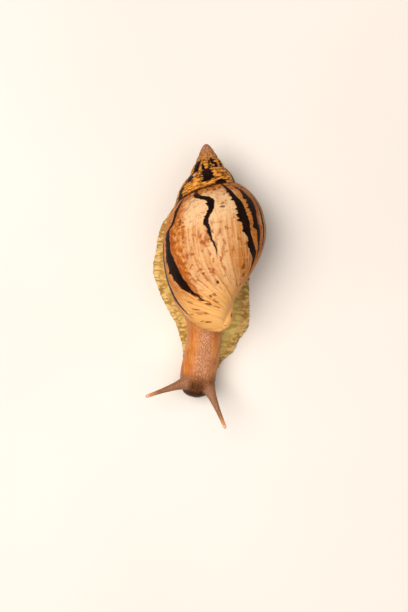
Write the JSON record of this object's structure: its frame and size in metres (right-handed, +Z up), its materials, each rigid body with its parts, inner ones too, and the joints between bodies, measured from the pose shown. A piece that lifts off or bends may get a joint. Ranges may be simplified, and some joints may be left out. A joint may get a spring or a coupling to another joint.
{
  "type": "giant land snail model",
  "caption": "Still, life-size model of a giant African land snail crawling with its body out, for display.",
  "frame": {"origin": "on the floor at the mount sole, under the middle of the foot", "axes": "+Z up, -Y towards the head, +Y towards the tail and the shell's apex, -X towards the snail's own right side"},
  "size_m": [0.0752, 0.1783, 0.0715],
  "materials": {
    "shell": "smooth shell, cream and orange-tan with near-black stripes running down each whorl",
    "skin": "moist, beaded snail skin, orange-tan with a grey-pink band along the neck",
    "foot": "moist, folded foot margin, yellow-olive",
    "mantle": "smooth, moist mantle collar, pale tan",
    "eye": "pale orange knob with a small black eye"
  },
  "bodies": {
    "root": {"shell": "shell", "mantle_collar": "mantle", "back": "skin", "neck": "skin", "head": "skin", "mouth": "skin", "upper_tentacle_right": "skin", "upper_tentacle_left": "skin", "lower_tentacle_right": "skin", "lower_tentacle_left": "skin", "eye_right": "eye", "eye_left": "eye", "foot_front": "foot", "foot_middle": "foot", "tail": "foot"}
  },
  "joints": []
}
